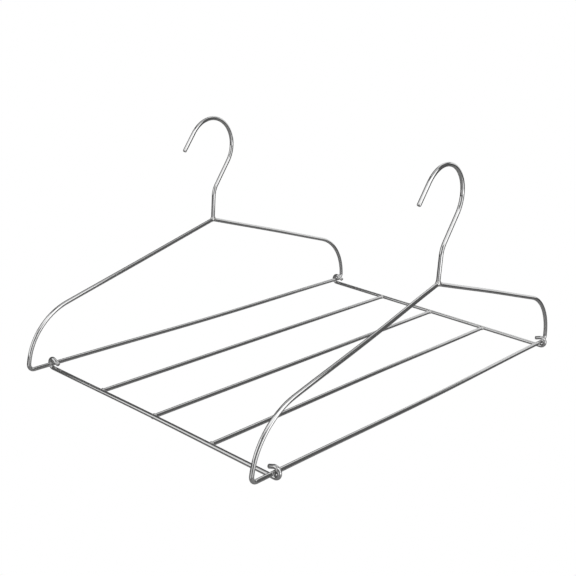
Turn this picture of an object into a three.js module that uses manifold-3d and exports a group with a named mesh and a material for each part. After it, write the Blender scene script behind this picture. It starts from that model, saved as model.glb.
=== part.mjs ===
// Clothes drying rack of round stainless wire: two bent hangers stand on the ends of a flat grid, and
// each turns about its own bottom bar in the curled eyes of the grid's two side rails.
// Millimetres. +X runs along the hangers, +Y from the front hanger to the rear one, +Z up.
// The grid lies on z = 0, and the rack's outer box is centred on x = 0 and y = 0.
import * as THREE from 'three';
import { mergeVertices } from 'three/addons/utils/BufferGeometryUtils.js';
import manifoldModule from 'manifold-3d';

const manifold = await manifoldModule();
manifold.setup();

// ---- driving dimensions ----

const hanger_wire_d = 3.6;
const rail_wire_d = 3.6;
const bar_wire_d = 3.4;
const wire_sides = 12; // flats round every wire, with one flat facing straight down

const hanger_width = 410; // between the wire's centre lines at the two bottom corners
const side_height = 41.4; // bottom bar up to where the shoulder's line meets the side's line
const side_lean_deg = 5.7; // each side leans out towards its bottom corner
const side_straight = 0.5; // the short run between a shoulder's curve and its corner
const shoulder_slope_deg = 15.6;
const corner_radius = 5; // centre line of the wire, as for every bend below

const neck_bend_radius = 4; // out of the right shoulder and up into the neck
const neck_height = 28.2; // shoulders' meeting point up to the middle of the upper bend
const upper_bend_radius = 18.4;
const hook_slant_deg = 33.3; // the hook's stem leans to the right above the upper bend
const stem_length = 30.4; // middle of the upper bend to the start of the hook's round
const hook_radius = 26.7;
const hook_wrap_deg = 179;
const tip_length = 19.3;

const left_eye_inset = 24; // left rail's centre line in from the hangers' left corners
const bar_pitch = 62; // cross bar to cross bar
const end_pitch = 63.5; // last cross bar to the hanger beside it
const bar_count = 3;

const eye_wrap_deg = 199; // how far a rail's end curls round the hanger's bottom bar
const eye_tail = 5; // straight end of the curl, pointing back over the rail
const eye_clearance = 0.4; // free play all round the hanger's bottom bar in an eye

const weld_gap = 0.3; // between neighbouring pieces that are welded together
const neck_weld_rise = 1.3; // how far a weld stands out from the wire's surface
const bar_weld_rise = 1.2;

// ---- what follows from them ----

const rad = THREE.MathUtils.degToRad;
const slope = rad(shoulder_slope_deg);
const lean = rad(side_lean_deg);
const hanger_r = hanger_wire_d / 2;
const rail_r = rail_wire_d / 2;
const bar_r = bar_wire_d / 2;
const flat_share = Math.cos(Math.PI / wire_sides); // middle of a flat, as a share of the wire's radius

// How much of a straight line a bend uses up on each side of the corner that it rounds.
const bendReach = (radius, turn) => radius * Math.tan(Math.abs(turn) / 2);

const eye_radius = hanger_r + eye_clearance + rail_r;
const rail_z = rail_r * flat_share;
const hanger_z = rail_z + eye_radius;
const depth = 2 * end_pitch + (bar_count - 1) * bar_pitch;
const front_y = -depth / 2;
const rear_y = depth / 2;

// The hanger's outline: its lines meet at the shoulders, the bottom corners and the neck, and each bend
// rounds a corner between two of them.
const corner_turn = Math.PI / 2 + lean;
const corner_reach = bendReach(corner_radius, corner_turn);
const shoulder_turn = Math.PI / 2 - slope - lean;
const shoulder_reach = side_height / Math.cos(lean) - side_straight - corner_reach;
const shoulder_radius = shoulder_reach / Math.tan(shoulder_turn / 2);
const shoulder_x = hanger_width / 2 - side_height * Math.tan(lean);
const shoulder_length = shoulder_x / Math.cos(slope);
const joint_height = side_height + shoulder_x * Math.tan(slope);

// The grid is slid to the right, until its right eyes meet the start of the hangers' corner bends.
const left_x = left_eye_inset - hanger_width / 2;
const right_x = hanger_width / 2 - corner_reach - rail_r;

const steel = { roughness: 0.16, metalness: 1 };
const hanger_steel = new THREE.MeshStandardMaterial({ color: 0xdcdedf, ...steel });
const grid_steel = new THREE.MeshStandardMaterial({ color: 0xd3d6d8, ...steel });
const weld_steel = new THREE.MeshStandardMaterial({ color: 0xc4c6c7, roughness: 0.35, metalness: 1 });

// ---- wire ----

// A wire's centre line as its stations: the ends of every straight run, and even steps round each bend.
class WirePath extends THREE.Curve {
  constructor(stations) {
    super();
    this.stations = stations;
  }

  get steps() {
    return this.stations.length - 1;
  }

  // Stations count as evenly spaced, so a long straight run stays one facet long.
  getUtoTmapping(u) {
    return u;
  }

  getPoint(t, target = new THREE.Vector3()) {
    const place = t * this.steps;
    const i = Math.min(Math.floor(place + 1e-6), this.steps - 1);
    return target.lerpVectors(this.stations[i].point, this.stations[i + 1].point, place - i);
  }

  getTangent(t, target = new THREE.Vector3()) {
    return target.copy(this.stations[Math.round(t * this.steps)].heading);
  }
}

// Bends a wire in one plane, in the order a wire bender works. across and up are the plane's axes,
// start and heading are in that plane, and each move is { run } or { turn, radius }, left turns positive.
function bendWire(origin, across, up, start, heading, moves) {
  const here = start.clone();
  let angle = heading;
  const stations = [];
  const mark = () => {
    const point = origin.clone().addScaledVector(across, here.x).addScaledVector(up, here.y);
    const ahead = across.clone().multiplyScalar(Math.cos(angle)).addScaledVector(up, Math.sin(angle));
    stations.push({ point, heading: ahead });
  };
  mark();
  for (const { run, turn, radius } of moves) {
    if (run) {
      here.x += run * Math.cos(angle);
      here.y += run * Math.sin(angle);
      mark();
      continue;
    }
    const steps = Math.max(3, Math.ceil(Math.abs(turn) / rad(radius > 20 ? 9 : 15)));
    const chord = 2 * radius * Math.sin(Math.abs(turn) / steps / 2);
    for (let i = 0; i < steps; i++) {
      angle += turn / steps / 2;
      here.x += chord * Math.cos(angle);
      here.y += chord * Math.sin(angle);
      angle += turn / steps / 2;
      mark();
    }
  }
  return new WirePath(stations);
}

function drawWire(path, radius) {
  const section = new THREE.Shape();
  for (let i = 0; i < wire_sides; i++) {
    const around = ((i + 0.5) / wire_sides) * 2 * Math.PI;
    const [x, y] = [radius * Math.cos(around), radius * Math.sin(around)];
    if (i === 0) section.moveTo(x, y);
    else section.lineTo(x, y);
  }
  section.closePath();
  return new THREE.ExtrudeGeometry(section, { steps: path.steps, extrudePath: path, bevelEnabled: false });
}

// ---- the pieces ----

// The bent wire is one piece from the left shoulder's welded end round to the hook's tip. reach adds
// length at the welded end for the weld's cut.
function hangerPath(y, reach = 0) {
  const neck_turn = Math.PI / 2 - slope;
  const neck_reach = bendReach(neck_bend_radius, neck_turn);
  const upper_reach = bendReach(upper_bend_radius, rad(hook_slant_deg));
  const end_gap = hanger_r - weld_gap - reach; // the neck's bend rounds the lines' corner and makes room
  const side = [
    { turn: shoulder_turn, radius: shoulder_radius },
    { run: side_straight },
    { turn: corner_turn, radius: corner_radius },
  ];
  const moves = [
    { run: shoulder_length - end_gap - shoulder_reach },
    ...side,
    { run: hanger_width - 2 * corner_reach },
    ...side.toReversed(),
    { run: shoulder_length - shoulder_reach - neck_reach },
    { turn: -neck_turn, radius: neck_bend_radius },
    { run: neck_height - neck_reach - upper_reach },
    { turn: -rad(hook_slant_deg), radius: upper_bend_radius },
    { run: stem_length - upper_reach },
    { turn: rad(hook_wrap_deg), radius: hook_radius },
    { run: tip_length },
  ];
  const origin = new THREE.Vector3(0, y, hanger_z);
  const across = new THREE.Vector3(1, 0, 0);
  const up = new THREE.Vector3(0, 0, 1);
  const start = new THREE.Vector2(-end_gap * Math.cos(slope), joint_height - end_gap * Math.sin(slope));
  return bendWire(origin, across, up, start, Math.PI + slope, moves);
}

// A side rail runs under both hangers' bottom bars, and each end curls up outside and back over the top.
function railPath(x) {
  const eye = { turn: rad(eye_wrap_deg), radius: eye_radius };
  const moves = [{ run: eye_tail }, eye, { run: depth }, eye, { run: eye_tail }];
  const origin = new THREE.Vector3(x, front_y, hanger_z);
  const across = new THREE.Vector3(0, 1, 0);
  const up = new THREE.Vector3(0, 0, 1);
  const heading = -rad(eye_wrap_deg);
  const tail_end = new THREE.Vector2(Math.sin(-heading), Math.cos(heading)).multiplyScalar(-eye_radius);
  tail_end.x -= eye_tail * Math.cos(heading);
  tail_end.y -= eye_tail * Math.sin(heading);
  return bendWire(origin, across, up, tail_end, heading, moves);
}

// A cross bar is butted between the rails; reach adds length at both ends for the welds' cuts.
function crossBarPath(y, reach = 0) {
  const inset = rail_r + weld_gap - reach;
  const length = right_x - left_x - 2 * inset;
  const origin = new THREE.Vector3(left_x + inset, y, rail_z);
  const across = new THREE.Vector3(1, 0, 0);
  const up = new THREE.Vector3(0, 0, 1);
  return bendWire(origin, across, up, new THREE.Vector2(), 0, [{ run: length }]);
}

function toSolid(geometry) {
  const bare = new THREE.BufferGeometry().setAttribute('position', geometry.getAttribute('position'));
  const welded = mergeVertices(bare, 1e-4);
  const mesh = new manifold.Mesh({
    numProp: 3,
    vertProperties: new Float32Array(welded.getAttribute('position').array),
    triVerts: new Uint32Array(welded.getIndex().array),
  });
  return new manifold.Manifold(mesh);
}

function toGeometry(solid) {
  const { vertProperties, triVerts } = solid.getMesh();
  const geometry = new THREE.BufferGeometry();
  geometry.setAttribute('position', new THREE.BufferAttribute(vertProperties, 3));
  geometry.setIndex(new THREE.BufferAttribute(triVerts, 1));
  return geometry;
}

// A weld is a small ball of metal with the wires it joins cut out of it, weld_gap clear of each.
// It is dressed flat underneath, so that the rails still lie flush on a table.
function weldBead(x, y, z, radius, wires) {
  let bead = manifold.Manifold.sphere(radius, wire_sides).translate([x, y, z]);
  bead = bead.trimByPlane([0, 0, 1], weld_gap);
  for (const { path, wire_radius } of wires) {
    bead = bead.subtract(toSolid(drawWire(path, wire_radius + weld_gap)));
  }
  return toGeometry(bead);
}

// ---- assembly ----

const rack = new THREE.Group();

function add(name, geometry, material) {
  const mesh = new THREE.Mesh(geometry, material);
  mesh.name = name;
  rack.add(mesh);
}

for (const [place, y] of [['front', front_y], ['rear', rear_y]]) {
  const wires = [{ path: hangerPath(y, weld_gap), wire_radius: hanger_r }];
  const bead = weldBead(0, y, hanger_z + joint_height, hanger_r + neck_weld_rise, wires);
  add(`${place}_hanger_wire`, drawWire(hangerPath(y), hanger_r), hanger_steel);
  add(`${place}_neck_weld`, bead, weld_steel);
}

const sides = [['left', left_x, 1], ['right', right_x, -1]];
for (const [side, x] of sides) add(`${side}_rail`, drawWire(railPath(x), rail_r), grid_steel);

for (let i = 0; i < bar_count; i++) {
  const y = front_y + end_pitch + i * bar_pitch;
  add(`cross_bar_${i + 1}`, drawWire(crossBarPath(y), bar_r), grid_steel);
  for (const [side, x, inward] of sides) {
    const wires = [
      { path: railPath(x), wire_radius: rail_r },
      { path: crossBarPath(y, rail_r), wire_radius: bar_r },
    ];
    const bead = weldBead(x + inward * rail_r, y, rail_z, bar_r + bar_weld_rise, wires);
    add(`cross_bar_${i + 1}_${side}_weld`, bead, weld_steel);
  }
}

export default rack;
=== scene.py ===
import math

import bpy
import numpy as np
from mathutils import Matrix, Vector, noise


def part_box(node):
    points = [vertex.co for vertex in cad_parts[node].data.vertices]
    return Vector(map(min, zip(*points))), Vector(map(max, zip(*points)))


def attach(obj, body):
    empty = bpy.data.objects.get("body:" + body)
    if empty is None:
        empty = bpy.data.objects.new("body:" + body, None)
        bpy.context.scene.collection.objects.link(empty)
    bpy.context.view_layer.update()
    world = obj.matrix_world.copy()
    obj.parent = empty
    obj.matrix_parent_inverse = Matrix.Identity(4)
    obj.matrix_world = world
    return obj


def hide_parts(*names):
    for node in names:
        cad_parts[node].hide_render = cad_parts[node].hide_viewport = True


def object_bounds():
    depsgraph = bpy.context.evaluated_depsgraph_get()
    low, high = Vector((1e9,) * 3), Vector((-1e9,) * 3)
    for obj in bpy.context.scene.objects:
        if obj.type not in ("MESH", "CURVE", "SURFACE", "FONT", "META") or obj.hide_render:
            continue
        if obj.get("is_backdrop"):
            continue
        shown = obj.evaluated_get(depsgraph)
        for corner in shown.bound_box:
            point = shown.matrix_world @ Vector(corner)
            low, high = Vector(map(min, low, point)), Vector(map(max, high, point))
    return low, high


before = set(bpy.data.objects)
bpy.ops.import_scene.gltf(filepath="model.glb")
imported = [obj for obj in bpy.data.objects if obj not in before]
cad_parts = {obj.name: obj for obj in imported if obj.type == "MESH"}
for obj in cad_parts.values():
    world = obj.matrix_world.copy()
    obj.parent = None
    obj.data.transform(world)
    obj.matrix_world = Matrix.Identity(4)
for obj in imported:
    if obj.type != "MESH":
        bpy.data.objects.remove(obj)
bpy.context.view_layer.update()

# ---- Side rails ----
# Two lengths of 3.6 mm bright drawn steel wire carry the flat grid. Each end is cut square, deburred and
# curled on a bending pin into an open eye, which hooks round a hanger's bottom bar with a little play.

EYE_RADIUS = 0.0040
EYE_WRAP = math.radians(199)
EYE_TAIL = 0.0050
REAR_EYE_WRAP = math.radians(205)
REAR_EYE_TAIL = 0.0064
RAIL_END_ROUND = 0.00055
RAIL_TRIM = 0.985  # drawn this much thinner, so that the eyes stay inside the part's outer box
RAIL_RISE = 0.0002
RAIL_DRIFT = {"left": 0.0006, "right": -0.0004}  # towards +X at mid length
EYE_RUB = 0.004
WIRE_SIDES = 32
END_RINGS = 5
LONGEST_STRIDE = 0.004
FINEST_TURN = math.radians(3)
HEAT_REACH = 0.0035
CUT_SWELL = 0.00009


def bend_wire(start, heading, moves):
    """Stations along a wire's centre line, in the plane that it is bent in.

    Each move is ("run", length) or ("turn", angle, radius), left turns positive. Returns one row per
    station: across, up, heading, signed tightness of the bend (1 / radius), length so far.
    """
    across, up = start
    length = 0.0
    rows = [(across, up, heading, 0.0, length)]
    for move in moves:
        if move[0] == "run":
            steps = max(2, math.ceil(move[1] / LONGEST_STRIDE))
            stride = move[1] / steps
            for _ in range(steps):
                across += stride * math.cos(heading)
                up += stride * math.sin(heading)
                length += stride
                rows.append((across, up, heading, 0.0, length))
            continue
        _, turn, radius = move
        steps = max(6, math.ceil(abs(turn) / FINEST_TURN))
        chord = 2 * radius * math.sin(abs(turn) / steps / 2)
        for _ in range(steps):
            heading += turn / steps / 2
            across += chord * math.cos(heading)
            up += chord * math.sin(heading)
            heading += turn / steps / 2
            length += radius * abs(turn) / steps
            rows.append((across, up, heading, math.copysign(1 / radius, turn), length))
    return np.array(rows)


def drawn_wire(name, stations, plane, radius, bows=(), rubs=(), end_round=0.0005, heats=()):
    """A bent wire as a fine closed tube round its stations, with deburred ends.

    plane is (origin, across, up) as vectors. bows are the slight curves of straight runs: (from, to,
    to the left of the heading, out of the plane), in metres, the first two along the wire. rubs are worn
    spots: (middle, half length, side or None, depth), where side is +1 for the inside of a left bend
    and -1 for the inside of a right one. heats are the lengths along the wire at which it is welded.
    """
    origin, across, up = (np.array(v, float) for v in plane)
    out = np.cross(across, up)
    length = stations[:, 4]
    leftward = np.zeros(len(stations))
    outward = np.zeros(len(stations))
    for first, last, by_left, by_out in bows:
        share = np.clip((length - first) / (last - first), 0, 1)
        leftward += by_left * np.sin(math.pi * share) ** 2
        outward += by_out * np.sin(math.pi * share) ** 2
    heading = stations[:, 2]
    ahead = np.outer(np.cos(heading), across) + np.outer(np.sin(heading), up)
    left = np.outer(-np.sin(heading), across) + np.outer(np.cos(heading), up)
    centre = origin + np.outer(stations[:, 0], across) + np.outer(stations[:, 1], up)
    centre += left * leftward[:, None] + out * outward[:, None]
    tight = stations[:, 3]

    # Rings: the deburred start, the stations between, the deburred end.
    rings = []
    for k in range(END_RINGS):
        lean = math.pi / 2 * (1 - k / (END_RINGS - 1))
        rings.append((0, end_round * (1 - math.sin(lean)), radius - end_round * (1 - math.cos(lean))))
    inner = np.where((length > end_round * 1.5) & (length < length[-1] - end_round * 1.5))[0]
    rings += [(i, 0.0, radius) for i in inner]
    last = len(stations) - 1
    for k in range(END_RINGS):
        lean = math.pi / 2 * k / (END_RINGS - 1)
        rings.append((last, -end_round * (1 - math.sin(lean)), radius - end_round * (1 - math.cos(lean))))

    angles = np.arange(WIRE_SIDES) * 2 * math.pi / WIRE_SIDES
    points, grain, strain, worn, heat, cut = [], [], [], [], [], []

    def mark(place, along, turn, side, end):
        points.append(place)
        grain.append((radius * math.cos(turn), radius * math.sin(turn), along))
        strain.append(tight[side] * radius * -math.sin(turn))
        wear = 0.0
        for middle, half, facing, depth in rubs:
            near = math.exp(-(((along - middle) / half) ** 2))
            if facing is not None:
                near *= max(0.0, facing * math.sin(turn)) ** 1.5
            wear = max(wear, near * depth)
        worn.append(wear)
        heat.append(max((math.exp(-abs(along - h) / HEAT_REACH) for h in heats), default=0.0))
        cut.append(end)

    for order, (i, shift, size) in enumerate(rings):
        middle = centre[i] + ahead[i] * shift
        end = 1.0 if order < 3 or order >= len(rings) - 3 else 0.0
        for turn in angles:
            place = middle + size * (math.cos(turn) * out + math.sin(turn) * left[i])
            mark(place, length[i] + shift, turn, i, end)
    faces = []
    for ring in range(len(rings) - 1):
        for side in range(WIRE_SIDES):
            a = ring * WIRE_SIDES + side
            b = ring * WIRE_SIDES + (side + 1) % WIRE_SIDES
            faces.append((a, a + WIRE_SIDES, b + WIRE_SIDES, b))
    # Each cut face swells out a little where the cutter's blades met.
    for ring, i, sign in ((0, 0, -1), (len(rings) - 1, last, 1)):
        edge = ring * WIRE_SIDES
        inner_ring = len(points)
        for turn in angles:
            size = (radius - end_round) * 0.5
            bulge = sign * CUT_SWELL * 2 / 3 * (1 + 0.5 * math.cos(2 * turn))
            place = centre[i] + ahead[i] * bulge
            place = place + size * (math.cos(turn) * out + math.sin(turn) * left[i])
            mark(place, length[i], turn, i, 1.0)
        mark(centre[i] + ahead[i] * sign * CUT_SWELL, length[i], 0.0, i, 1.0)
        hub = len(points) - 1
        for side in range(WIRE_SIDES):
            a, b = edge + side, edge + (side + 1) % WIRE_SIDES
            c, d = inner_ring + (side + 1) % WIRE_SIDES, inner_ring + side
            faces.append((a, b, c, d) if sign < 0 else (b, a, d, c))
            faces.append((d, c, hub) if sign < 0 else (c, d, hub))

    mesh = bpy.data.meshes.new(name)
    mesh.from_pydata([tuple(p) for p in points], [], faces)
    mesh.attributes.new("wire_grain", "FLOAT_VECTOR", "POINT").data.foreach_set(
        "vector", np.array(grain, np.float32).ravel()
    )
    for label, values in (("strain", strain), ("worn", worn), ("heat", heat), ("cut_end", cut)):
        mesh.attributes.new(label, "FLOAT", "POINT").data.foreach_set(
            "value", np.array(values, np.float32)
        )
    mesh.polygons.foreach_set("use_smooth", [True] * len(mesh.polygons))
    mesh.validate()
    mesh.update()
    wire = bpy.data.objects.new(name, mesh)
    bpy.context.scene.collection.objects.link(wire)
    return wire


def node_in(tree, kind, **settings):
    """A new node of that kind, with its settings."""
    made = tree.nodes.new(kind)
    for name, value in settings.items():
        setattr(made, name, value)
    return made


def shader_group(name, inputs, outputs):
    """An empty node group of float sockets; an input named Grain takes the wire's own coordinates."""
    group = bpy.data.node_groups.new(name, "ShaderNodeTree")
    for label, value in inputs:
        kind = "NodeSocketVector" if label == "Grain" else "NodeSocketFloat"
        socket = group.interface.new_socket(label, in_out="INPUT", socket_type=kind)
        if value is not None:
            socket.default_value = value
    for label in outputs:
        group.interface.new_socket(label, in_out="OUTPUT", socket_type="NodeSocketFloat")
    return group, group.nodes.new("NodeGroupInput"), group.nodes.new("NodeGroupOutput")


def maths(tree, operation, first, second=None, clamp=False):
    """The result of a sum on sockets or plain numbers."""
    made = node_in(tree, "ShaderNodeMath", operation=operation, use_clamp=clamp)
    for slot, value in ((0, first), (1, second)):
        if value is None:
            continue
        if isinstance(value, (int, float)):
            made.inputs[slot].default_value = value
        else:
            tree.links.new(value, made.inputs[slot])
    return made.outputs[0]


def summed(tree, start, shares, clamp=False):
    """start plus each mask times its amount. shares holds (mask, amount)."""
    total = start
    for mask, amount in shares:
        total = maths(tree, "ADD", total, maths(tree, "MULTIPLY", mask, amount), clamp=clamp)
    return total


def ramp(tree, value, low, high, out_low=0.0, out_high=1.0):
    """A smooth step from out_low to out_high, while value goes from low to high."""
    made = node_in(tree, "ShaderNodeMapRange", interpolation_type="SMOOTHSTEP")
    tree.links.new(value, made.inputs["Value"])
    made.inputs["From Min"].default_value = low
    made.inputs["From Max"].default_value = high
    made.inputs["To Min"].default_value = out_low
    made.inputs["To Max"].default_value = out_high
    return made.outputs["Result"]


def stretched(tree, grain, around, along):
    """The wire's own coordinates, scaled round the wire and along it."""
    made = node_in(tree, "ShaderNodeVectorMath", operation="MULTIPLY")
    tree.links.new(grain, made.inputs[0])
    made.inputs[1].default_value = (around, around, along)
    return made.outputs[0]


def speckle(tree, vector, scale, detail=2.0, roughness=0.5, distortion=0.0):
    """Noise from 0 to 1, with scale cells to the metre and detail octaves."""
    made = node_in(tree, "ShaderNodeTexNoise")
    tree.links.new(vector, made.inputs["Vector"])
    made.inputs["Scale"].default_value = scale
    made.inputs["Detail"].default_value = detail
    made.inputs["Roughness"].default_value = roughness
    made.inputs["Distortion"].default_value = distortion
    return made.outputs["Fac"]


# Fine lines left by the drawing die, which run along the wire and fade in and out.
die_lines, given, result = shader_group("die_lines", [("Grain", None), ("Depth", 1.0)], ["Lines"])
along_wire = given.outputs["Grain"]
fine = speckle(die_lines, stretched(die_lines, along_wire, 1.0, 0.012), 5200, 3.0, 0.6)
broad = speckle(die_lines, stretched(die_lines, along_wire, 1.0, 0.02), 1700, 2.0)
fading = speckle(die_lines, stretched(die_lines, along_wire, 0.4, 1.0), 60, 1.0)
both = summed(die_lines, maths(die_lines, "MULTIPLY", fine, 0.6), [(broad, 0.4)])
faded = maths(die_lines, "MULTIPLY", both, ramp(die_lines, fading, 0.3, 0.7, 0.35, 1.0))
lines = maths(die_lines, "MULTIPLY", faded, given.outputs["Depth"])
die_lines.links.new(lines, result.inputs["Lines"])

# Hairline scratches and dull smudges from handling and from the straightener's rolls.
handling, given, result = shader_group("handling_marks", [("Grain", None)], ["Scratches", "Smudges"])
along_wire = given.outputs["Grain"]
crossing = speckle(handling, stretched(handling, along_wire, 1.0, 0.35), 900, 4.0, 0.6, 0.6)
hairline = maths(handling, "ABSOLUTE", maths(handling, "SUBTRACT", crossing, 0.5))
thin_line = ramp(handling, hairline, 0.006, 0.02, 1.0, 0.0)
patch = speckle(handling, along_wire, 110, 2.0)
scratch = maths(handling, "MULTIPLY", thin_line, ramp(handling, patch, 0.48, 0.62))
handling.links.new(scratch, result.inputs["Scratches"])
smear = speckle(handling, stretched(handling, along_wire, 1.0, 0.45), 75, 3.0, 0.55, 0.3)
handling.links.new(ramp(handling, smear, 0.42, 0.68), result.inputs["Smudges"])

# Wear where metal slides on metal: bright burnished patches, broken up by fine scoring round the wire.
rub_inputs = [("Grain", None), ("Worn", 0.0)]
rubbing, given, result = shader_group("rubbed_metal", rub_inputs, ["Rubbed", "Scoring"])
along_wire = given.outputs["Grain"]
uneven = speckle(rubbing, along_wire, 900, 3.0)
wear = summed(rubbing, given.outputs["Worn"], [(uneven, 0.5)])
rubbed = ramp(rubbing, wear, 0.5, 0.95)
rubbing.links.new(rubbed, result.inputs["Rubbed"])
score = speckle(rubbing, stretched(rubbing, along_wire, 0.12, 1.0), 6000, 2.0)
rubbing.links.new(maths(rubbing, "MULTIPLY", score, rubbed), result.inputs["Scoring"])


def own_value(tree, label):
    """What is written on the mesh under that name."""
    made = node_in(tree, "ShaderNodeAttribute", attribute_name=label)
    return made.outputs["Vector"] if label == "wire_grain" else made.outputs["Fac"]


def placed(tree, group, **links):
    """A group's outputs, once it stands in a material with its inputs linked or set."""
    made = node_in(tree, "ShaderNodeGroup", node_tree=group)
    for label, value in links.items():
        if isinstance(value, (int, float)):
            made.inputs[label].default_value = value
        else:
            tree.links.new(value, made.inputs[label])
    return made.outputs


def shade(tree, share, first, second):
    """A colour between two, by share."""
    made = node_in(tree, "ShaderNodeMix", data_type="RGBA")
    tree.links.new(share, made.inputs["Factor"])
    for socket, value in ((made.inputs[6], first), (made.inputs[7], second)):
        if isinstance(value, tuple):
            socket.default_value = (*value, 1.0)
        else:
            tree.links.new(value, socket)
    return made.outputs[2]


HEAT_TINT = (0.50, 0.48, 0.45)
BURNISHED = (0.74, 0.74, 0.73)
CUT_GREY = (0.40, 0.40, 0.40)
RELIEF_DEPTH = 0.0000012


def wire_steel(name, bright, dull, polish, line_depth):
    """Bright drawn steel wire. bright and dull are its colours, polish its lowest roughness and
    line_depth how deep the drawing lines are.
    """
    material = bpy.data.materials.new(name)
    material.use_nodes = True
    tree = material.node_tree
    shader = tree.nodes["Principled BSDF"]
    shader.inputs["Metallic"].default_value = 1.0
    grain = own_value(tree, "wire_grain")
    lines = placed(tree, die_lines, Grain=grain, Depth=line_depth)["Lines"]
    marks = placed(tree, handling, Grain=grain)
    rub = placed(tree, rubbing, Grain=grain, Worn=own_value(tree, "worn"))
    haze = own_value(tree, "heat")
    cut = own_value(tree, "cut_end")
    stretch = maths(tree, "ABSOLUTE", own_value(tree, "strain"))

    tone = shade(tree, marks["Smudges"], bright, dull)
    for mask, share, colour in (
        (haze, 0.5, HEAT_TINT),
        (rub["Rubbed"], 0.6, BURNISHED),
        (cut, 0.5, CUT_GREY),
    ):
        tone = shade(tree, maths(tree, "MULTIPLY", mask, share), tone, colour)
    tree.links.new(tone, shader.inputs["Base Color"])

    roughening = [
        (lines, 0.05),
        (marks["Smudges"], 0.05),
        (marks["Scratches"], 0.12),
        (stretch, 0.22),
        (haze, 0.16),
        (rub["Scoring"], 0.16),
        (cut, 0.22),
    ]
    tree.links.new(summed(tree, polish, roughening, clamp=True), shader.inputs["Roughness"])

    # Tight bends come up like orange peel, and the cutter's blades leave streaks on the cut faces.
    peel = maths(tree, "MULTIPLY", speckle(tree, grain, 1500, 2.0), stretch)
    streaks = maths(tree, "MULTIPLY", speckle(tree, stretched(tree, grain, 1.0, 0.0), 2600, 3.0), cut)
    relief = [(marks["Scratches"], -0.6), (rub["Scoring"], 0.5), (peel, 4.0), (streaks, 3.0)]
    height = summed(tree, lines, relief)
    bump = node_in(tree, "ShaderNodeBump")
    bump.inputs["Distance"].default_value = RELIEF_DEPTH
    tree.links.new(height, bump.inputs["Height"])
    tree.links.new(bump.outputs["Normal"], shader.inputs["Normal"])
    return material


rail_steel = wire_steel("rail_wire_steel", (0.66, 0.66, 0.66), (0.60, 0.60, 0.597), 0.06, 0.9)

front_low, front_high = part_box("front_hanger_wire")
rear_low, rear_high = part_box("rear_hanger_wire")
front_y = (front_low.y + front_high.y) / 2
rear_y = (rear_low.y + rear_high.y) / 2
span = rear_y - front_y
curl = EYE_WRAP * EYE_RADIUS
rail_start = EYE_TAIL + curl
rail_end = rail_start + span
rail_places = {}
for side in ("left", "right"):
    low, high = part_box(side + "_rail")
    rail_r = (high.x - low.x) / 2
    rail_x = (low.x + high.x) / 2
    rail_z = low.z + rail_r
    rail_places[side] = (rail_x, rail_r, rail_z)
    curl_start = -EYE_WRAP
    tail_x = EYE_RADIUS * math.sin(curl_start) - EYE_TAIL * math.cos(curl_start)
    tail_z = -EYE_RADIUS * math.cos(curl_start) - EYE_TAIL * math.sin(curl_start)
    route = bend_wire(
        (tail_x, tail_z),
        curl_start,
        [
            ("run", EYE_TAIL),
            ("turn", EYE_WRAP, EYE_RADIUS),
            ("run", span),
            ("turn", REAR_EYE_WRAP, EYE_RADIUS),
            ("run", REAR_EYE_TAIL),
        ],
    )
    weld_spots = []
    for number in (1, 2, 3):
        bar_low, bar_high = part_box("cross_bar_%d" % number)
        weld_spots.append(rail_start + (bar_low.y + bar_high.y) / 2 - front_y)
    rail = drawn_wire(
        side + "_rail_bent_wire",
        route,
        ((rail_x, front_y, rail_z + EYE_RADIUS), (0, 1, 0), (0, 0, 1)),
        rail_r * RAIL_TRIM,
        bows=[(rail_start, rail_end, RAIL_RISE, RAIL_DRIFT[side])],
        rubs=[
            (EYE_TAIL + curl / 2, EYE_RUB, 1, 1.0),
            (rail_end + REAR_EYE_WRAP * EYE_RADIUS / 2, EYE_RUB, 1, 1.0),
        ],
        end_round=RAIL_END_ROUND,
        heats=weld_spots,
    )
    rail.data.materials.append(rail_steel)
    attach(rail, "grid")
    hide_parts(side + "_rail")

# ---- Cross bars ----
# Three straight lengths of slightly thinner drawn wire lie level with the rails. Their ends are cut
# square and upset against the rails' inner sides when the joints are welded.

BAR_SINK = 0.0004
BAR_END_ROUND = 0.0003
BAR_SWELL = 1.02  # the part's twelve-sided bar is measured over its flats, so a round one is thicker
BAR_BOW_MARGIN = 0.01
BAR_BOWS = {1: (0.0002, -0.0009), 2: (0.0002, 0.0006), 3: (0.0003, 0.0004)}  # up and frontwards
bar_steel = wire_steel("cross_bar_steel", (0.64, 0.64, 0.64), (0.58, 0.58, 0.577), 0.07, 1.0)
bar_places = {}
left_x, left_r, _ = rail_places["left"]
right_x, right_r, _ = rail_places["right"]
for number in (1, 2, 3):
    name = "cross_bar_%d" % number
    low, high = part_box(name)
    bar_r = (high.z - low.z) / 2
    bar_y = (low.y + high.y) / 2
    bar_z = (low.z + high.z) / 2
    bar_places[number] = (bar_y, bar_r, bar_z)
    start_x = left_x + left_r - BAR_SINK
    bar_length = right_x - right_r + BAR_SINK - start_x
    route = bend_wire((0.0, 0.0), 0.0, [("run", bar_length)])
    rise, drift = BAR_BOWS[number]
    bar = drawn_wire(
        name + "_wire",
        route,
        ((start_x, bar_y, bar_z), (1, 0, 0), (0, 0, 1)),
        bar_r * BAR_SWELL,
        bows=[(BAR_BOW_MARGIN, bar_length - BAR_BOW_MARGIN, rise, drift)],
        end_round=BAR_END_ROUND,
        heats=[0.0, bar_length],
    )
    bar.data.materials.append(bar_steel)
    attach(bar, "grid")
    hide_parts(name)

# ---- Cross bar welds ----
# Each T joint is resistance welded: the bar's end melts into the rail and pushes up a small bright
# collar of metal, dressed flat underneath so that the rails still lie flush.

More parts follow.
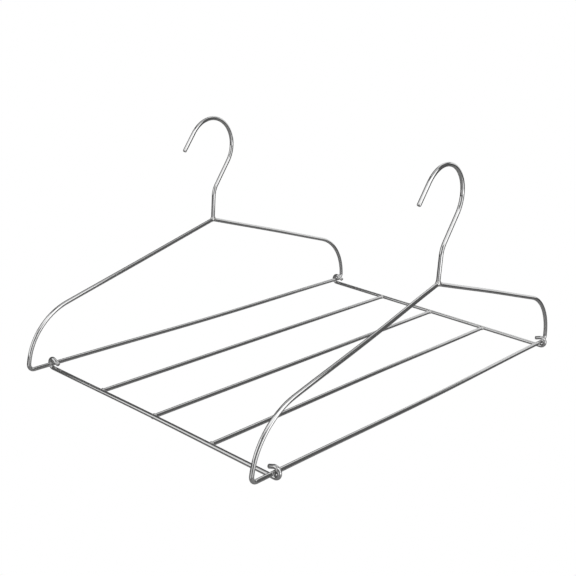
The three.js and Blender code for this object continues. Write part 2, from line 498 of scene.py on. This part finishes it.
# A bead stays in a ball of its reach, and melt is how far it flows into the corners. Its arms are the
# wires, drawn a little thinner than they are, so that no wire's own surface shows as the bead's.
TEE_REACH = 0.0024
TEE_MELT = 0.0009
TEE_ARM = 0.01
TEE_INSET = 0.0003
LUMP_OUT = 0.0001
LUMP_UP = 0.0003
COLLAR_OUT = 0.0005
COLLAR_GROWTH = 0.00008
COLLAR_THICKNESS = 0.00022
DRESSED_FLAT = 0.00004
ARM_SINK = 0.00006
BEAD_ROUNDS = 5
BEAD_STEPS = 90
BEAD_HALVINGS = 10
JUST_OUTSIDE = 1.02
BROAD_RIPPLE = 0.022
BROAD_TURNS = 3.1
FINE_RIPPLE = 0.008
FINE_TURNS = 9.0
SKIN_DEPTH = 0.00004


def bead_directions(rounds):
    """Even directions all round, by splitting an octahedron's faces rounds times."""
    points = [(1, 0, 0), (-1, 0, 0), (0, 1, 0), (0, -1, 0), (0, 0, 1), (0, 0, -1)]
    faces = [(0, 2, 4), (2, 1, 4), (1, 3, 4), (3, 0, 4), (2, 0, 5), (1, 2, 5), (3, 1, 5), (0, 3, 5)]
    for _ in range(rounds):
        between, split = {}, []

        def halfway(a, b):
            key = (min(a, b), max(a, b))
            if key not in between:
                between[key] = len(points)
                middle = np.array(points[a]) + np.array(points[b])
                points.append(tuple(middle / np.linalg.norm(middle)))
            return between[key]

        for a, b, c in faces:
            d, e, f = halfway(a, b), halfway(b, c), halfway(c, a)
            split += [(a, d, f), (d, b, e), (f, e, c), (d, e, f)]
        faces = split
    return np.array(points, float), faces


def weld_bead(name, middle, arms, lump, melt, reach, collar=None, floor=None, seed=0):
    """A closed bead of melted metal that blends the wires' surfaces where they meet.

    arms are the wires as (from, to, radius). lump is (centre, radius) of the bead itself, melt how far
    it flows into the corners, reach the size of the ball that it stays in, collar a ring of metal
    pushed out round an arm as (centre, axis, radius, thickness).
    """
    ball = bpy.data.meshes.new(name)
    directions, faces = bead_directions(BEAD_ROUNDS)
    middle = np.array(middle, float)

    def depth(points):
        """Distance to the bead's surface, negative inside."""
        parts = []
        for start, stop, radius in arms:
            start, stop = np.array(start, float), np.array(stop, float)
            line = stop - start
            share = np.clip((points - start) @ line / (line @ line), 0, 1)
            parts.append(np.linalg.norm(points - start - share[:, None] * line, axis=1) - radius)
        parts.append(np.linalg.norm(points - np.array(lump[0], float), axis=1) - lump[1])
        if collar:
            centre, axis, radius, thickness = collar
            offset = points - np.array(centre, float)
            axial = offset @ np.array(axis, float)
            radial = np.linalg.norm(offset - np.outer(axial, axis), axis=1) - radius
            parts.append(np.hypot(axial, radial) - thickness)
        total = parts[0]
        for part in parts[1:]:
            blend = np.clip(0.5 + 0.5 * (part - total) / melt, 0, 1)
            total = part * (1 - blend) + total * blend - melt * blend * (1 - blend)
        total = np.maximum(total, np.linalg.norm(points - middle, axis=1) - reach)
        if floor is not None:
            total = np.maximum(total, floor - points[:, 2])
        return total

    far = np.full(len(directions), reach * JUST_OUTSIDE)
    step = reach / BEAD_STEPS
    active = np.ones(len(directions), bool)
    while active.any():
        inside = depth(middle + directions * far[:, None]) < 0
        active &= ~inside & (far > step)
        far[active] -= step
    near, out = far.copy(), far + step
    for _ in range(BEAD_HALVINGS):
        half = (near + out) / 2
        inside = depth(middle + directions * half[:, None]) < 0
        near = np.where(inside, half, near)
        out = np.where(inside, out, half)
    ripple = np.array([noise.noise(Vector(d * BROAD_TURNS + seed)) for d in directions])
    fine_ripple = np.array([noise.noise(Vector(d * FINE_TURNS - seed)) for d in directions])
    swell = 1 + BROAD_RIPPLE * ripple + FINE_RIPPLE * fine_ripple
    points = middle + directions * (near * swell)[:, None]
    if floor is not None:
        points[:, 2] = np.maximum(points[:, 2], floor)
    ball.from_pydata([tuple(p) for p in points], [], faces)
    ball.attributes.new("wire_grain", "FLOAT_VECTOR", "POINT").data.foreach_set(
        "vector", np.array(points - middle, np.float32).ravel()
    )
    ball.polygons.foreach_set("use_smooth", [True] * len(ball.polygons))
    ball.update()
    bead = bpy.data.objects.new(name, ball)
    bpy.context.scene.collection.objects.link(bead)
    return bead


def weld_steel(name, bright, dull, polish):
    """Metal that has melted and set: brighter than the wire, with a rough skin and fine ripples."""
    material = bpy.data.materials.new(name)
    material.use_nodes = True
    tree = material.node_tree
    shader = tree.nodes["Principled BSDF"]
    shader.inputs["Metallic"].default_value = 1.0
    grain = own_value(tree, "wire_grain")
    marks = placed(tree, handling, Grain=grain)
    skin = speckle(tree, grain, 1400, 4.0, 0.6)
    tone = shade(tree, ramp(tree, skin, 0.38, 0.66), bright, dull)
    tree.links.new(tone, shader.inputs["Base Color"])
    roughening = [(skin, 0.18), (marks["Smudges"], 0.08)]
    tree.links.new(summed(tree, polish, roughening, clamp=True), shader.inputs["Roughness"])
    height = summed(tree, skin, [(speckle(tree, grain, 2600, 3.0, 0.6), 0.4)])
    bump = node_in(tree, "ShaderNodeBump")
    bump.inputs["Distance"].default_value = SKIN_DEPTH
    tree.links.new(height, bump.inputs["Height"])
    tree.links.new(bump.outputs["Normal"], shader.inputs["Normal"])
    return material


tee_steel = weld_steel("tee_weld_steel", (0.78, 0.78, 0.77), (0.62, 0.61, 0.60), 0.26)
for number, (bar_y, bar_r, bar_z) in bar_places.items():
    for side, inward in (("left", 1), ("right", -1)):
        rail_x, rail_r, rail_z = rail_places[side]
        face_x = rail_x + inward * rail_r
        along_rail = ((rail_x, bar_y - TEE_ARM, rail_z), (rail_x, bar_y + TEE_ARM, rail_z))
        along_bar = ((rail_x, bar_y, bar_z), (rail_x + inward * TEE_ARM, bar_y, bar_z))
        collar_centre = (face_x + inward * COLLAR_OUT, bar_y, bar_z)
        bead = weld_bead(
            "cross_bar_%d_%s_bead" % (number, side),
            (face_x - inward * TEE_INSET, bar_y, rail_z),
            [(*along_rail, rail_r - ARM_SINK), (*along_bar, bar_r - ARM_SINK)],
            ((face_x + inward * LUMP_OUT, bar_y, rail_z + LUMP_UP), bar_r),
            TEE_MELT,
            TEE_REACH,
            collar=(collar_centre, (inward, 0, 0), bar_r + COLLAR_GROWTH, COLLAR_THICKNESS),
            floor=DRESSED_FLAT,
            seed=number * 2 + inward,
        )
        bead.data.materials.append(tee_steel)
        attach(bead, "grid")
        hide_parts("cross_bar_%d_%s_weld" % (number, side))

# ---- Hangers ----
# Each hanger is one length of 3.6 mm bright drawn wire, bent flat on a former: left shoulder, round
# the bottom bar through both eyes, right shoulder, then up into the neck and over into the hook.

SHOULDER_SLOPE = math.radians(15.6)
SIDE_LEAN = math.radians(5.7)
SIDE_HEIGHT = 0.0414
SIDE_STRAIGHT = 0.0005
CORNER_RADIUS = 0.005
NECK_RADIUS = 0.004
NECK_HEIGHT = 0.0282
UPPER_RADIUS = 0.0184
HOOK_SLANT = math.radians(33.3)
STEM_LENGTH = 0.0304
HOOK_RADIUS = 0.0267
HOOK_WRAP = math.radians(179)
TIP_LENGTH = 0.0193
TIP_ROUND = 0.0009
END_GAP = 0.0010
HANGER_TRIM = 0.996  # drawn this much thinner, so that the wire stays inside the part's outer box
# Bows of the straight runs, positive towards the inside of the hanger's outline: the bottom bars sag.
BOTTOM_BOW = {"front": -0.0013, "rear": -0.0014}
LEFT_SHOULDER_BOW = 0.0004
RIGHT_SHOULDER_BOW = -0.0003
SHOULDER_LEAN = {"front": 0.0005, "rear": -0.0004}  # frontwards for the left shoulder
BOTTOM_LEAN_SHARE = 0.6
SHOULDER_BOW_MARGIN = 0.006
BAR_RUB = 0.0028
CROWN_RUB = 0.012
CROWN_SHARE = 0.52


def bend_reach(radius, turn):
    return radius * math.tan(abs(turn) / 2)


hanger_steel = wire_steel("hanger_wire_steel", (0.70, 0.70, 0.70), (0.64, 0.64, 0.637), 0.045, 0.8)
corner_turn = math.pi / 2 + SIDE_LEAN
corner_reach = bend_reach(CORNER_RADIUS, corner_turn)
shoulder_turn = math.pi / 2 - SHOULDER_SLOPE - SIDE_LEAN
shoulder_reach = SIDE_HEIGHT / math.cos(SIDE_LEAN) - SIDE_STRAIGHT - corner_reach
shoulder_radius = shoulder_reach / math.tan(shoulder_turn / 2)
neck_turn = math.pi / 2 - SHOULDER_SLOPE
neck_reach = bend_reach(NECK_RADIUS, neck_turn)
upper_reach = bend_reach(UPPER_RADIUS, HOOK_SLANT)
hanger_places = {}
for place in ("front", "rear"):
    low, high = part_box(place + "_hanger_wire")
    hanger_r = (high.y - low.y) / 2
    hanger_y = (low.y + high.y) / 2
    hanger_z = low.z + hanger_r
    # The wire's bottom corners stand furthest out, so they give the width between centre lines.
    bulge_out = CORNER_RADIUS * (math.tan(corner_turn / 2) - 1)
    hanger_width = high.x - low.x - 2 * hanger_r + 2 * bulge_out
    shoulder_x = hanger_width / 2 - SIDE_HEIGHT * math.tan(SIDE_LEAN)
    shoulder_length = shoulder_x / math.cos(SHOULDER_SLOPE)
    joint_z = SIDE_HEIGHT + shoulder_x * math.tan(SHOULDER_SLOPE)
    hanger_places[place] = (hanger_y, hanger_r, hanger_z, joint_z)
    first_run = shoulder_length - END_GAP - shoulder_reach
    bottom_run = hanger_width - 2 * corner_reach
    last_run = shoulder_length - shoulder_reach - neck_reach
    down = [
        ("turn", shoulder_turn, shoulder_radius),
        ("run", SIDE_STRAIGHT),
        ("turn", corner_turn, CORNER_RADIUS),
    ]
    route = bend_wire(
        (-END_GAP * math.cos(SHOULDER_SLOPE), joint_z - END_GAP * math.sin(SHOULDER_SLOPE)),
        math.pi + SHOULDER_SLOPE,
        [("run", first_run)] + down + [("run", bottom_run)] + down[::-1] + [("run", last_run)]
        + [
            ("turn", -neck_turn, NECK_RADIUS),
            ("run", NECK_HEIGHT - neck_reach - upper_reach),
            ("turn", -HOOK_SLANT, UPPER_RADIUS),
            ("run", STEM_LENGTH - upper_reach),
            ("turn", HOOK_WRAP, HOOK_RADIUS),
            ("run", TIP_LENGTH),
        ],
    )
    side_length = shoulder_turn * shoulder_radius + SIDE_STRAIGHT + corner_turn * CORNER_RADIUS
    bottom_start = first_run + side_length
    left_corner_x = -hanger_width / 2 + corner_reach
    eyes = [bottom_start + rail_places[side][0] - left_corner_x for side in ("left", "right")]
    total = route[-1, 4]
    crown = total - TIP_LENGTH - HOOK_WRAP * HOOK_RADIUS * CROWN_SHARE
    neck_start = bottom_start + bottom_run + side_length + last_run
    lean_out = SHOULDER_LEAN[place]
    right_start = neck_start - last_run
    right_end = neck_start - SHOULDER_BOW_MARGIN
    hanger = drawn_wire(
        place + "_hanger_bent_wire",
        route,
        ((0.0, hanger_y, hanger_z), (1, 0, 0), (0, 0, 1)),
        hanger_r * HANGER_TRIM,
        bows=[
            (eyes[0], eyes[1], BOTTOM_BOW[place], lean_out * BOTTOM_LEAN_SHARE),
            (SHOULDER_BOW_MARGIN, first_run, LEFT_SHOULDER_BOW, lean_out),
            (right_start, right_end, RIGHT_SHOULDER_BOW, -lean_out),
        ],
        rubs=[
            (eyes[0], BAR_RUB, None, 0.95),
            (eyes[1], BAR_RUB, None, 0.95),
            (crown, CROWN_RUB, 1, 0.85),
        ],
        end_round=TIP_ROUND,
        heats=[0.0, neck_start + neck_turn * NECK_RADIUS / 2],
    )
    hanger.data.materials.append(hanger_steel)
    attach(hanger, place + "_hanger")
    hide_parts(place + "_hanger_wire")

# ---- Neck welds ----
# The left shoulder's cut end is welded into the bend at the foot of the neck, which leaves one round,
# bright bead of metal in the corner between the three arms.

NECK_ARM = 0.012
NECK_REACH = 0.0028
NECK_MELT = 0.0009
NECK_LUMP = 0.0020
NECK_MIDDLE = (0.0004, 0.0004)
NECK_LUMP_MIDDLE = (-0.0002, 0.0002)
BEND_PARTS = 6
NECK_SEEDS = {"front": 11, "rear": 17}
neck_weld_steel = weld_steel("neck_weld_steel", (0.80, 0.80, 0.79), (0.64, 0.63, 0.62), 0.24)
slope_x = math.cos(SHOULDER_SLOPE)
slope_z = math.sin(SHOULDER_SLOPE)
for place, (hanger_y, hanger_r, hanger_z, joint_z) in hanger_places.items():
    top = hanger_z + joint_z
    arm_r = hanger_r - ARM_SINK
    foot_z = top - NECK_ARM * slope_z
    bend_x, bend_z = neck_reach * slope_x, top - neck_reach * slope_z
    arms = [
        ((-NECK_ARM * slope_x, hanger_y, foot_z), (0.0, hanger_y, top), arm_r),
        ((NECK_ARM * slope_x, hanger_y, foot_z), (bend_x, hanger_y, bend_z), arm_r),
        ((0.0, hanger_y, top + neck_reach), (0.0, hanger_y, top + NECK_ARM), arm_r),
    ]
    # The foot of the neck is a bend, taken here as short straight parts.
    bend = []
    for part in range(BEND_PARTS + 1):
        turned = math.pi + neck_turn * part / BEND_PARTS
        across = NECK_RADIUS + NECK_RADIUS * math.cos(turned)
        bend.append((across, hanger_y, top + neck_reach + NECK_RADIUS * math.sin(turned)))
    for first, second in zip(bend, bend[1:]):
        arms.append((first, second, arm_r))
    bead = weld_bead(
        place + "_neck_bead",
        (NECK_MIDDLE[0], hanger_y, top + NECK_MIDDLE[1]),
        arms,
        ((NECK_LUMP_MIDDLE[0], hanger_y, top + NECK_LUMP_MIDDLE[1]), NECK_LUMP),
        NECK_MELT,
        NECK_REACH,
        seed=NECK_SEEDS[place],
    )
    bead.data.materials.append(neck_weld_steel)
    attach(bead, place + "_hanger")
    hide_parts(place + "_neck_weld")

# ---- Studio ----
# A plain white floor lies well below the rack, as if the rack hung by its hooks. Soft panels stand in
# front of the rack, over it and beside it, and the gaps between them draw the edges of the bright wire.

FLOOR_HALF = 6.0
FLOOR_Z = -0.26
FLOOR_GREY = 0.34
ROOM_DIM = 0.13
RACK_MIDDLE = Vector((0, 0, 0.06))
floor_mesh = bpy.data.meshes.new("floor")
floor_mesh.from_pydata(
    [(x * FLOOR_HALF, y * FLOOR_HALF, FLOOR_Z) for x, y in ((-1, -1), (1, -1), (1, 1), (-1, 1))],
    [],
    [(0, 1, 2, 3)],
)
floor = bpy.data.objects.new("floor", floor_mesh)
bpy.context.scene.collection.objects.link(floor)
paper = bpy.data.materials.new("white_paper")
paper.use_nodes = True
tree = paper.node_tree
shader = tree.nodes["Principled BSDF"]
shader.inputs["Base Color"].default_value = (FLOOR_GREY, FLOOR_GREY, FLOOR_GREY, 1)
shader.inputs["Roughness"].default_value = 0.8
glow = node_in(tree, "ShaderNodeEmission")
glow.inputs["Strength"].default_value = 1.0
choice = node_in(tree, "ShaderNodeMixShader")
sight = node_in(tree, "ShaderNodeLightPath")
tree.links.new(sight.outputs["Is Camera Ray"], choice.inputs[0])
tree.links.new(shader.outputs[0], choice.inputs[1])
tree.links.new(glow.outputs[0], choice.inputs[2])
tree.links.new(choice.outputs[0], tree.nodes["Material Output"].inputs["Surface"])
floor_mesh.materials.append(paper)
floor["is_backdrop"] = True

room = bpy.data.worlds.new("studio")
room.use_nodes = True
tree = room.node_tree
tree.nodes.clear()
white = node_in(tree, "ShaderNodeBackground")
white.inputs["Color"].default_value = (1, 1, 1, 1)
dim = node_in(tree, "ShaderNodeBackground")
dim.inputs["Color"].default_value = (1, 1, 1, 1)
dim.inputs["Strength"].default_value = ROOM_DIM
choice = node_in(tree, "ShaderNodeMixShader")
sight = node_in(tree, "ShaderNodeLightPath")
out = node_in(tree, "ShaderNodeOutputWorld")
tree.links.new(sight.outputs["Is Camera Ray"], choice.inputs[0])
tree.links.new(dim.outputs[0], choice.inputs[1])
tree.links.new(white.outputs[0], choice.inputs[2])
tree.links.new(choice.outputs[0], out.inputs["Surface"])
bpy.context.scene.world = room


def soft_panel(name, azimuth, elevation, distance, width, height, radiance):
    """A flat light that faces the rack's middle, at a distance from it. Angles are in degrees.

    Azimuth is from +X towards +Y, and radiance is the panel's brightness whatever its size.
    """
    lamp = bpy.data.lights.new(name, "AREA")
    lamp.shape = "RECTANGLE"
    lamp.size = width
    lamp.size_y = height
    lamp.energy = radiance * math.pi * width * height
    panel = bpy.data.objects.new(name, lamp)
    turned = math.radians(azimuth)
    raised = math.radians(elevation)
    level = math.cos(raised)
    back = Vector((math.cos(turned) * level, math.sin(turned) * level, math.sin(raised)))
    panel.location = RACK_MIDDLE + back * distance
    panel.rotation_euler = back.to_track_quat("Z", "Y").to_euler()
    panel.visible_camera = False
    bpy.context.scene.collection.objects.link(panel)


# Each panel's numbers are its azimuth, elevation, distance, width, height and radiance.
# The tall key panel and its dimmer edge stand in front, with a strip of light at their foot.
soft_panel("key_panel", -87, 24, 0.95, 0.50, 1.40, 1.4)
soft_panel("key_panel_edge", -115, 24, 0.95, 0.50, 1.40, 0.4)
soft_panel("key_panel_foot", -97, -13, 0.72, 0.72, 0.26, 0.7)
# A wide panel stands over the camera.
soft_panel("overhead_panel", -148, 47, 1.00, 1.20, 0.50, 1.0)
# White cards on the right light the upper sides of the cross bars.
soft_panel("right_card", 3, 16, 1.10, 1.35, 0.60, 0.75)
soft_panel("right_card_top", 20, 48, 1.10, 0.70, 0.60, 0.8)
# White cards on the left light the rails and the hangers' left sides.
soft_panel("left_card", 161, 12, 1.00, 0.95, 0.55, 1.0)
soft_panel("left_card_top", 147, 42, 1.00, 0.50, 0.55, 0.7)
soft_panel("left_card_foot", -170, -13, 0.72, 0.42, 0.26, 0.6)
# One card lies overhead.
soft_panel("top_card", 60, 84, 1.10, 0.90, 0.90, 0.5)

# ---- Camera ----
# It stands at the front left, higher than the hooks, and looks down at the rack through a 61 mm lens
# on a 36 mm wide sensor. It is rolled by a few degrees.

CAMERA_PLACE = Vector((-0.62615, -0.50716, 0.32548))
CAMERA_AIM = Vector((-0.02115, 0.00962, 0.06943))
CAMERA_ROLL = math.radians(3.49)
camera = bpy.data.objects.new("camera", bpy.data.cameras.new("camera"))
camera.data.sensor_width = 36
camera.data.lens = 60.70
camera.data.clip_start = 0.05
camera.data.clip_end = 40
ahead = (CAMERA_AIM - CAMERA_PLACE).normalized()
right = ahead.cross(Vector((0, 0, 1))).normalized()
up = right.cross(ahead)
right, up = (
    right * math.cos(CAMERA_ROLL) + up * math.sin(CAMERA_ROLL),
    up * math.cos(CAMERA_ROLL) - right * math.sin(CAMERA_ROLL),
)
turned = Matrix((right, up, -ahead)).transposed().to_4x4()
camera.matrix_world = Matrix.Translation(CAMERA_PLACE) @ turned
bpy.context.scene.collection.objects.link(camera)
bpy.context.scene.camera = camera
bpy.context.scene.view_settings.view_transform = "Standard"

low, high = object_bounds()
